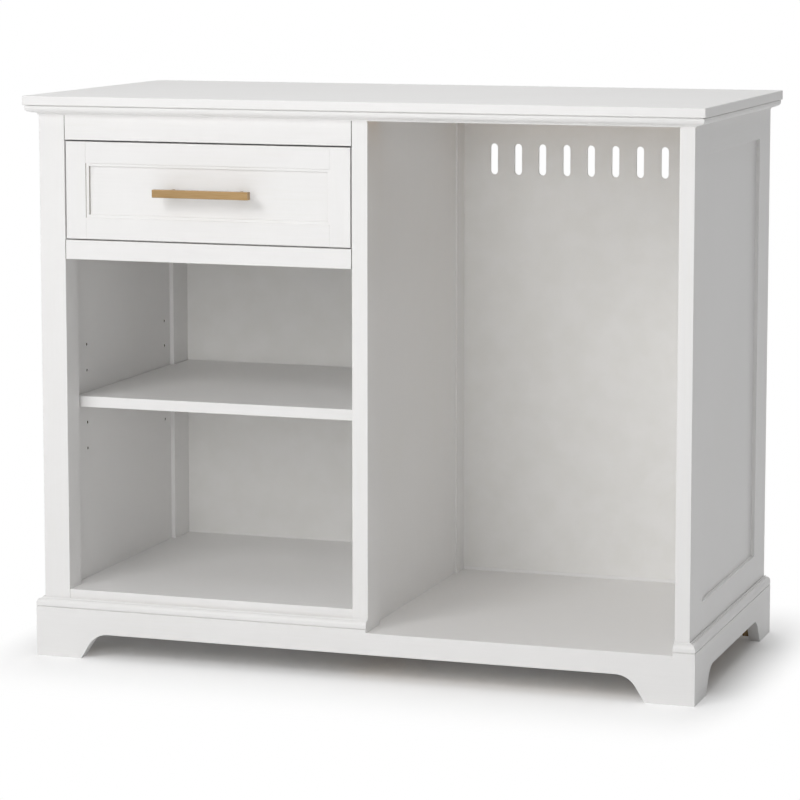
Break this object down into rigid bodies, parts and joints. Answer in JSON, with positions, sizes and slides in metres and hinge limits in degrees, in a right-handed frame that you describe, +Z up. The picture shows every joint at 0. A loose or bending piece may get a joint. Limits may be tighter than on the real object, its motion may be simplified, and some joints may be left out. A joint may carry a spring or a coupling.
{
  "type": "coffee bar cabinet",
  "caption": "White painted coffee bar cabinet with a panelled drawer over an adjustable shelf, an open vented appliance bay, moulded crown and a bracket-foot plinth.",
  "frame": {"origin": "on the floor, in the middle of the part's outer box", "axes": "+X to the right seen from the front, +Y to the back, +Z up"},
  "size_m": [1.118, 0.567, 0.914],
  "materials": {
    "white_paint": "satin white lacquer on fibreboard and solid wood",
    "bare_wood": "planed softwood, unpainted",
    "drawer_board": "white melamine-faced board",
    "brass": "brushed champagne brass",
    "steel": "zinc plated",
    "runner_enamel": "white epoxy-coated pressed steel",
    "roller_plastic": "white nylon"
  },
  "bodies": {
    "cabinet": {"base_moulding_front": "white_paint", "base_moulding_left": "white_paint", "base_moulding_return": "white_paint", "base_moulding_right": "white_paint", "bay_floor": "white_paint", "cabinet_runner_left": "runner_enamel", "cabinet_runner_right": "runner_enamel", "centre_stile": "white_paint", "crown_front": "white_paint", "crown_left": "white_paint", "crown_right": "white_paint", "deck_front_rail": "bare_wood", "deck_rear_rail": "bare_wood", "drawer_lower_rail": "white_paint", "drawer_upper_rail": "white_paint", "floor_bearers": "bare_wood", "left_back_panel": "white_paint", "left_deck": "white_paint", "left_front_post": "white_paint", "left_inner_panel": "white_paint", "left_rear_post": "white_paint", "left_side_bottom_rail": "white_paint", "left_side_panel": "white_paint", "left_side_top_rail": "white_paint", "partition_panel": "white_paint", "partition_rear_post": "white_paint", "plinth_back": "white_paint", "plinth_blocks": "bare_wood", "plinth_front": "white_paint", "plinth_left": "white_paint", "plinth_right": "white_paint", "right_front_post": "white_paint", "right_rear_post": "white_paint", "right_side_bottom_rail": "white_paint", "right_side_panel": "white_paint", "right_side_top_rail": "white_paint", "runner_packer": "bare_wood", "shelf_supports": "steel", "top_slab": "white_paint", "top_stretchers": "bare_wood", "vented_back_panel": "white_paint"},
    "drawer": {"drawer_bottom": "drawer_board", "drawer_box_back": "drawer_board", "drawer_box_front": "drawer_board", "drawer_box_left": "drawer_board", "drawer_box_right": "drawer_board", "drawer_front_bottom_rail": "white_paint", "drawer_front_left_stile": "white_paint", "drawer_front_panel": "white_paint", "drawer_front_right_stile": "white_paint", "drawer_front_top_rail": "white_paint", "drawer_runner_left": "runner_enamel", "drawer_runner_right": "runner_enamel", "handle_bar": "brass", "handle_posts": "brass", "handle_screws": "steel"},
    "shelf": {"adjustable_shelf": "white_paint"},
    "front_rollers": {"front_rollers": "roller_plastic"},
    "rear_rollers": {"rear_rollers": "roller_plastic"}
  },
  "joints": [
    {"name": "drawer_slide", "type": "slide", "parent": "cabinet", "child": "drawer", "axis": [0, -1, 0], "range_m": [0, 0.33]},
    {"name": "shelf_lift", "type": "slide", "parent": "cabinet", "child": "shelf", "axis": [0, 0, 1], "range_m": [0, 0.0866]},
    {"name": "front_roller_spin", "type": "hinge", "parent": "cabinet", "child": "front_rollers", "pos_m": [0, -0.2215, 0.7095], "axis": [1, 0, 0], "range_deg": [-10, 2380]},
    {"name": "rear_roller_spin", "type": "hinge", "parent": "drawer", "child": "rear_rollers", "pos_m": [0, 0.2105, 0.7095], "axis": [1, 0, 0], "range_deg": [-10, 2380]}
  ],
  "couplings": [
    {"joint": "front_roller_spin", "follows": "drawer_slide", "rad_per_m": 125},
    {"joint": "rear_roller_spin", "follows": "drawer_slide", "rad_per_m": 125}
  ]
}
